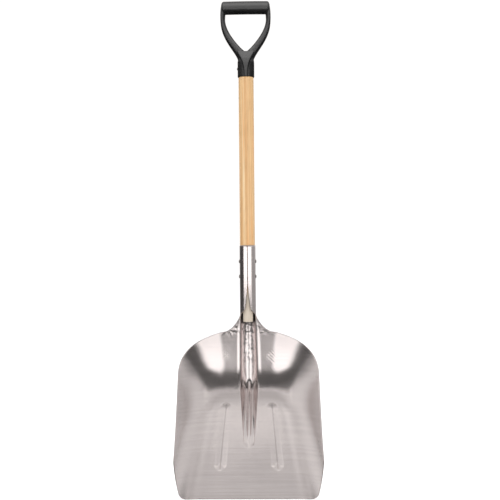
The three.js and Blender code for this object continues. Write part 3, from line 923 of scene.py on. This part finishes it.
class Nodes:
    """Adds and wires shader nodes in one node tree."""

    def __init__(self, tree):
        self.tree = tree

    def node(self, kind, **settings):
        made = self.tree.nodes.new(kind)
        for key, value in settings.items():
            setattr(made, key, value)
        return made

    def wire(self, source, target):
        self.tree.links.new(source, target)

    def place(self, scale):
        """Object coordinates stretched by scale, in repeats per metre."""
        coordinates = self.node("ShaderNodeTexCoord")
        mapping = self.node("ShaderNodeMapping")
        mapping.inputs["Scale"].default_value = scale
        self.wire(coordinates.outputs["Object"], mapping.inputs["Vector"])
        return mapping.outputs["Vector"]

    def noise(self, scale, detail=4.0, roughness=0.5, distortion=0.0):
        made = self.node("ShaderNodeTexNoise")
        made.inputs["Scale"].default_value = 1.0
        made.inputs["Detail"].default_value = detail
        made.inputs["Roughness"].default_value = roughness
        made.inputs["Distortion"].default_value = distortion
        self.wire(self.place(scale), made.inputs["Vector"])
        return made.outputs["Fac"]

    def ramp(self, source, stops):
        made = self.node("ShaderNodeValToRGB")
        elements = made.color_ramp.elements
        while len(elements) < len(stops):
            elements.new(0.5)
        for element, (position, colour) in zip(elements, stops):
            element.position = position
            element.color = (*colour, 1) if isinstance(colour, tuple) else (colour,) * 3 + (1,)
        self.wire(source, made.inputs["Fac"])
        return made.outputs["Color"]

    def math(self, operation, a, b=None):
        made = self.node("ShaderNodeMath", operation=operation)
        for socket, value in zip(made.inputs, (a, b)):
            if value is None:
                continue
            if isinstance(value, (int, float)):
                socket.default_value = value
            else:
                self.wire(value, socket)
        return made.outputs["Value"]

    def soft(self, value, start, end, low, high):
        """low up to the value start, passing smoothly to high from the value end on."""
        made = self.node("ShaderNodeMapRange", interpolation_type="SMOOTHSTEP")
        for name, number in (("From Min", start), ("From Max", end), ("To Min", low), ("To Max", high)):
            made.inputs[name].default_value = number
        self.wire(value, made.inputs["Value"])
        return made.outputs["Result"]

    def below(self, low, high):
        """1 under the height low, falling to 0 at the height high, in metres of the model's frame."""
        axes = self.node("ShaderNodeSeparateXYZ")
        self.wire(self.place((1, 1, 1)), axes.inputs["Vector"])
        return self.soft(axes.outputs["Z"], low, high, 1.0, 0.0)

    def blend(self, mode, factor, a, b):
        made = self.node("ShaderNodeMix", data_type="RGBA", blend_type=mode)
        for name, value in (("Factor", factor), ("A", a), ("B", b)):
            sockets = [s for s in made.inputs if s.name == name and s.enabled]
            if isinstance(value, (int, float)):
                sockets[0].default_value = value
            elif isinstance(value, tuple):
                sockets[0].default_value = (*value, 1)
            else:
                self.wire(value, sockets[0])
        return [s for s in made.outputs if s.name == "Result" and s.enabled][0]

    def bump(self, height, strength, distance, below=None):
        made = self.node("ShaderNodeBump")
        made.inputs["Strength"].default_value = strength
        made.inputs["Distance"].default_value = distance
        self.wire(height, made.inputs["Height"])
        if below is not None:
            self.wire(below, made.inputs["Normal"])
        return made.outputs["Normal"]


class Recipe(Nodes):
    """The nodes of one new material."""

    def __init__(self, name):
        self.material = bpy.data.materials.new(name)
        self.material.use_nodes = True
        super().__init__(self.material.node_tree)
        self.shader = self.tree.nodes["Principled BSDF"]

    def finish(self, **inputs):
        for name, value in inputs.items():
            socket = self.shader.inputs[name.replace("_", " ")]
            if isinstance(value, (int, float, tuple)):
                socket.default_value = value
            else:
                self.wire(value, socket)
        return self.material


ALUMINIUM_TONES = [(0.25, (0.76, 0.702, 0.690)), (0.75, (0.85, 0.785, 0.772))]
# near-black tone of the blade's painted shade
PAINTED_SHADE_TONE = (0.055, 0.047, 0.042)
RIVET_TONES = [(0.3, (0.42, 0.40, 0.39)), (0.7, (0.62, 0.60, 0.59))]
ASH_TONES = [(0.28, (0.66, 0.34, 0.125)), (0.5, (0.83, 0.54, 0.265)), (0.72, (0.92, 0.72, 0.44))]
ASH_STREAK_TONE = (0.77, 0.38, 0.135)
SOCKET_SHADE_ASH_TONE = (0.62, 0.54, 0.44)
SOCKET_SHADE_HEIGHTS = (0.49, 0.52)  # metres above the cutting edge; below them the shaft's end inside the socket gets a greyer tone as painted shade
PLASTIC_TONES = [(0.3, (0.003, 0.0032, 0.0036)), (0.7, (0.005, 0.0053, 0.006))]


def aluminium():
    """Mill-finish sheet: fine grain across the blade, clouding, specks, and painted shade in its creases,
    grooves and corners and on the upper left wall.
    """
    r = Recipe("blade_aluminium")
    grain = r.noise((14, 14, 1500), detail=3, roughness=0.7)
    streaks = r.noise((4, 4, 320), detail=4, roughness=0.6)
    clouds = r.noise((9, 9, 9), detail=5, roughness=0.55)
    specks = r.noise((420, 420, 420), detail=2)
    tone = r.ramp(streaks, ALUMINIUM_TONES)
    tone = r.blend("MULTIPLY", 0.5, tone, r.ramp(clouds, [(0.3, 0.90), (0.7, 1.0)]))
    gloss = r.math("ADD", r.math("MULTIPLY", streaks, 0.08), r.math("MULTIPLY", clouds, 0.12))
    gloss = r.math("ADD", gloss, r.math("MULTIPLY", specks, 0.04))
    gloss = r.math("ADD", gloss, 0.08)
    # painted shade from the blade's attribute mixes the colour towards a near-black tone
    shade_mask = r.node("ShaderNodeAttribute", attribute_name="painted_shade_amount").outputs["Fac"]
    tone = r.blend("MIX", shade_mask, tone, PAINTED_SHADE_TONE)
    normal = r.bump(grain, 0.20, 0.0002)
    normal = r.bump(clouds, 0.10, 0.002, normal)
    return r.finish(Base_Color=tone, Metallic=1.0, Roughness=gloss, Normal=normal)


def rivet_metal():
    r = Recipe("rivet_metal")
    wear = r.noise((300, 300, 300), detail=4)
    tone = r.ramp(wear, RIVET_TONES)
    gloss = r.math("ADD", r.math("MULTIPLY", wear, 0.3), 0.2)
    return r.finish(Base_Color=tone, Metallic=1.0, Roughness=gloss, Normal=r.bump(wear, 0.3, 0.0004))


def ash():
    """Straight-grained ash: long growth bands, fine open pores, a thin clear coat, and a greyer tone painted
    as shade on its end inside the socket.
    """
    r = Recipe("ash_wood")
    bands = r.noise((105, 105, 1.6), detail=4, roughness=0.6, distortion=0.6)
    streaks = r.noise((260, 260, 5), detail=3, roughness=0.55)
    pores = r.noise((1400, 1400, 28), detail=2)
    clouds = r.noise((14, 14, 6), detail=3)
    tone = r.ramp(bands, ASH_TONES)
    tone = r.blend("MULTIPLY", 0.55, tone, r.ramp(streaks, [(0.3, 0.80), (0.62, 1.0)]))
    tone = r.blend("MULTIPLY", 0.5, tone, r.ramp(pores, [(0.34, 0.62), (0.46, 1.0)]))
    tone = r.blend("MULTIPLY", 0.35, tone, r.ramp(clouds, [(0.3, 0.84), (0.7, 1.0)]))
    warm = r.noise((120, 120, 2.2), detail=3, roughness=0.6)
    tone = r.blend("MIX", r.ramp(warm, [(0.54, 0.0), (0.64, 0.7)]), tone, ASH_STREAK_TONE)
    # painted shade: the end inside the socket's mouth is mixed towards a greyer tone
    socket_shade = r.below(*(DATUM.z + height for height in SOCKET_SHADE_HEIGHTS))
    tone = r.blend("MIX", socket_shade, tone, SOCKET_SHADE_ASH_TONE)
    gloss = r.math("ADD", r.math("MULTIPLY", streaks, 0.18), 0.36)
    normal = r.bump(pores, 0.25, 0.0002)
    normal = r.bump(bands, 0.12, 0.0006, normal)
    return r.finish(Base_Color=tone, Roughness=gloss, Normal=normal, Coat_Weight=0.25, Coat_Roughness=0.25)


def black_plastic():
    """Satin moulded plastic with a fine spark-eroded texture and slightly shinier rubbed places."""
    r = Recipe("black_plastic")
    pits = r.noise((2600, 2600, 2600), detail=2, roughness=0.6)
    flow = r.noise((60, 60, 60), detail=4)
    tone = r.ramp(flow, PLASTIC_TONES)
    gloss = r.math("ADD", r.math("MULTIPLY", flow, 0.14), 0.27)
    normal = r.bump(pits, 0.35, 0.00025)
    r.shader.inputs["Specular IOR Level"].default_value = 1.0
    return r.finish(Base_Color=tone, Roughness=gloss, Normal=normal)


# ---- stage, lights and camera ----

FLOOR_Z = CAD_BOX[0].z
FLOOR_RADIUS = 40
FLOOR_GLOW = 0.45
EYE_HEIGHT = 610.4 * MM
EYE_DISTANCE = 2.6
VIEW_WIDTH = 1.26  # width of the view at the shaft, metres
VIEW_TURN = math.radians(1.3)
VIEW_ROLL = math.radians(0.5)
VIEW_OFFSET = Vector((0.0063, 0, 0))
SENSOR_WIDTH = 36
CARD_TINT = (1, 0.98, 0.97, 1)
SURROUND_RADIUS = 30
SURROUND_HEIGHTS = (-0.1, 40)
SURROUND_BRIGHTNESS = 1.06


def floor():
    r = Recipe("floor_paper")
    fleck = r.noise((5, 5, 5), detail=3)
    tone = r.ramp(fleck, [(0.3, 0.86), (0.7, 0.88)])
    r.finish(Base_Color=tone, Roughness=0.9, Emission_Color=(1, 1, 1, 1), Emission_Strength=FLOOR_GLOW)
    r.shader.inputs["Specular IOR Level"].default_value = 0.0
    bm = bmesh.new()
    bmesh.ops.create_circle(bm, cap_ends=True, radius=FLOOR_RADIUS, segments=96)
    mesh = bpy.data.meshes.new("studio_floor")
    bm.to_mesh(mesh)
    bm.free()
    obj = bpy.data.objects.new("studio_floor", mesh)
    obj.location.z = FLOOR_Z
    obj.data.materials.append(r.material)
    obj.visible_glossy = False
    bpy.context.scene.collection.objects.link(obj)


def card(name, points, faces, brightness):
    """A studio card that only shiny surfaces see."""
    material = bpy.data.materials.new(name)
    material.use_nodes = True
    nodes = material.node_tree.nodes
    nodes.remove(nodes["Principled BSDF"])
    emission = nodes.new("ShaderNodeEmission")
    emission.inputs["Color"].default_value = CARD_TINT
    emission.inputs["Strength"].default_value = brightness
    material.node_tree.links.new(emission.outputs["Emission"], nodes["Material Output"].inputs["Surface"])
    obj = new_object(name, points, faces, smooth=False)
    obj.data.materials.append(material)
    obj.visible_camera = False
    obj.visible_diffuse = False
    obj.visible_shadow = False
    obj.visible_transmission = False
    return obj


def arc_points(radius, start, end, steps=24):
    """Points of an arc about the shaft; azimuth 0 is straight in front, positive to the right."""
    angles = np.radians(np.linspace(start, end, steps + 1))
    return [(radius * math.sin(a), -radius * math.cos(a)) for a in angles]


def strip_faces(count):
    """Quads between two lines of points that follow each other in one list."""
    return [(i, i + 1, count + i + 1, count + i) for i in range(count - 1)]


def wall_card(name, radius, azimuths, heights, brightness):
    """An upright card bent round the shovel; heights are above the floor."""
    line = arc_points(radius, *azimuths)
    points = [(x, y, FLOOR_Z + z) for z in heights for x, y in line]
    card(name, points, strip_faces(len(line)), brightness)


def ground_card(name, radii, azimuths, height, brightness):
    """A level card, a ring or a part of one, at a height above the floor."""
    inner, outer = (arc_points(radius, *azimuths) for radius in radii)
    points = [(x, y, FLOOR_Z + height) for x, y in inner + outer]
    card(name, points, strip_faces(len(inner)), brightness)


def overhead_card():
    """A leaning softbox above and in front of the grip."""
    near, far = (-1.35, 1.85), (-0.45, 2.75)
    half_width = 1.1
    points = [(x, y, FLOOR_Z + z) for y, z in (near, far) for x in (-half_width, half_width)]
    card("card_overhead", points, [(0, 1, 3, 2)], brightness=2.1)


def cards():
    """What the sheet and the grip mirror: dark low in front, white further off, grey rings higher up."""
    middle, high = (0.85, 1.40), (0.93, 1.26)
    all_round = (-180, 180)
    overhead_card()
    wall_card("card_front_low", 1.4, (-52, 52), (0, 0.444), brightness=0.085)
    wall_card("card_front_low_left", 1.4, (-58, -52), (0, 0.34), brightness=0.085)
    wall_card("card_front_low_right", 1.4, (52, 58), (0, 0.34), brightness=0.085)
    ground_card("card_ground_dark", (0.55, 1.4), (-64, 64), height=0.006, brightness=0.10)
    wall_card("card_front_white", 3.2, (-55, 55), (0.25, 0.75), brightness=2.2)
    wall_card("card_left_dark", 0.35, (-135, -58), (0.42, 0.72), brightness=0.06)
    wall_card("card_right_dark", 0.35, (66, 110), (0.44, 0.68), brightness=0.36)
    wall_card("card_ring_front", 2.4, (-42, 42), middle, brightness=0.52)
    wall_card("card_ring_left", 2.4, (-180, -42), middle, brightness=0.64)
    wall_card("card_ring_right", 2.4, (42, 180), middle, brightness=0.64)
    wall_card("card_grip_left", 0.5, (-150, -40), high, brightness=0.07)
    wall_card("card_grip_right", 0.5, (40, 150), high, brightness=0.07)
    wall_card("card_front_high", 1.2, (-34, 34), (1.14, 1.65), brightness=1.1)
    ground_card("card_grip_below", (0.03, 0.80), all_round, height=0.93, brightness=0.02)
    ground_card("card_above_pan", (0.03, 0.80), all_round, height=0.90, brightness=0.66)


def cyclorama():
    """The pale surround that the camera sees; reflections see the studio instead."""
    line = arc_points(SURROUND_RADIUS, -180, 180, steps=96)
    points = [(x, y, FLOOR_Z + z) for z in SURROUND_HEIGHTS for x, y in line]
    obj = card("cyclorama", points, strip_faces(len(line)), SURROUND_BRIGHTNESS)
    obj.visible_camera = True
    obj.visible_glossy = False


def studio_below(r, azimuth):
    """The pale table: dim straight ahead, bright to both sides of that, dim again at the sides."""
    inner = r.soft(azimuth, math.radians(6), math.radians(13), 0.43, 1.50)
    outer = r.soft(azimuth, math.radians(36), math.radians(52), 1.0, 0.2)
    return r.math("MULTIPLY", inner, outer)


def studio_above(r, azimuth, x, z):
    """The ceiling, brighter overhead, with a softbox on each side, the left one stronger."""
    boxes = r.math("MULTIPLY", r.soft(azimuth, math.radians(12), math.radians(45), 0.0, 0.20),
                   r.soft(azimuth, math.radians(75), math.radians(100), 1.0, 0.0))
    boxes = r.math("MULTIPLY", boxes, r.soft(x, -0.5, 0.5, 1.5, 1.05))
    ceiling = r.math("ADD", r.soft(z, 0.36, 0.47, 0.50, 0.64), r.soft(z, 0.54, 0.61, 0.0, -0.16))
    ceiling = r.math("ADD", ceiling, r.soft(z, 0.64, 0.70, 0.0, 0.26))
    return r.math("ADD", boxes, ceiling)


def world():
    """What the shovel mirrors beyond the cards, told apart by direction only."""
    made = bpy.data.worlds.new("studio")
    bpy.context.scene.world = made
    made.use_nodes = True
    r = Nodes(made.node_tree)
    direction = r.node("ShaderNodeSeparateXYZ")
    coordinates = r.node("ShaderNodeTexCoord")
    r.wire(coordinates.outputs["Generated"], direction.inputs["Vector"])
    x, y, z = (direction.outputs[axis] for axis in "XYZ")
    azimuth = r.math("ABSOLUTE", r.math("ARCTAN2", x, r.math("MULTIPLY", y, -1.0)))
    rise_share = r.soft(z, -0.10, 0.04, 0.0, 1.0)
    above = r.math("MULTIPLY", studio_above(r, azimuth, x, z), rise_share)
    below = r.math("MULTIPLY", studio_below(r, azimuth), r.math("SUBTRACT", 1.0, rise_share))
    background = made.node_tree.nodes["Background"]
    background.inputs["Color"].default_value = (1, 0.985, 0.98, 1)
    r.wire(r.math("ADD", above, below), background.inputs["Strength"])


def soft_light(name, place, target, size, power):
    """A soft light that shiny surfaces don't mirror; power in watts."""
    data = bpy.data.lights.new(name, "AREA")
    data.shape = "RECTANGLE"
    data.size, data.size_y = size
    data.energy = power
    obj = bpy.data.objects.new(name, data)
    obj.location = place
    obj.rotation_euler = (Vector(target) - Vector(place)).to_track_quat("-Z", "Y").to_euler()
    obj.visible_glossy = False
    bpy.context.scene.collection.objects.link(obj)


def lights():
    middle = (0, 0, FLOOR_Z + 0.6)
    soft_light("key", (0.7, -2.9, FLOOR_Z + 2.6), middle, size=(1.4, 1.4), power=22)
    soft_light("overhead", (0, 0.9, FLOOR_Z + 3.2), middle, size=(2.4, 1.6), power=38)


def camera():
    data = bpy.data.cameras.new("camera")
    data.sensor_width = SENSOR_WIDTH
    data.lens = data.sensor_width * EYE_DISTANCE / VIEW_WIDTH
    obj = bpy.data.objects.new("camera", data)
    centre = Vector((DATUM.x, DATUM.y, DATUM.z + EYE_HEIGHT)) + VIEW_OFFSET
    away = Vector((math.sin(VIEW_TURN), -math.cos(VIEW_TURN), 0))
    obj.location = centre + away * EYE_DISTANCE
    level = (-away).to_track_quat("-Z", "Y").to_matrix().to_4x4()
    obj.matrix_world = Matrix.Translation(obj.location) @ level @ Matrix.Rotation(-VIEW_ROLL, 4, "Z")
    bpy.context.scene.collection.objects.link(obj)
    bpy.context.scene.camera = obj


# ---- assembly ----

def stand_for(obj, node, material):
    obj.data.materials.clear()
    obj.data.materials.append(material)
    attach(obj, "root")
    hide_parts(node)


stand_for(scoop_blade(), "scoop_blade", aluminium())
stand_for(wood_shaft(), "wood_shaft", ash())
stand_for(d_grip(), "d_grip", black_plastic())
RIVET_FINISH = rivet_metal()
stand_for(socket_rivet("upper"), "socket_rivet_upper", RIVET_FINISH)
stand_for(socket_rivet("lower"), "socket_rivet_lower", RIVET_FINISH)
stand_for(grip_rivet(), "grip_rivet", RIVET_FINISH)

floor()
cards()
cyclorama()
world()
lights()
camera()
bpy.context.scene.view_settings.view_transform = "Standard"
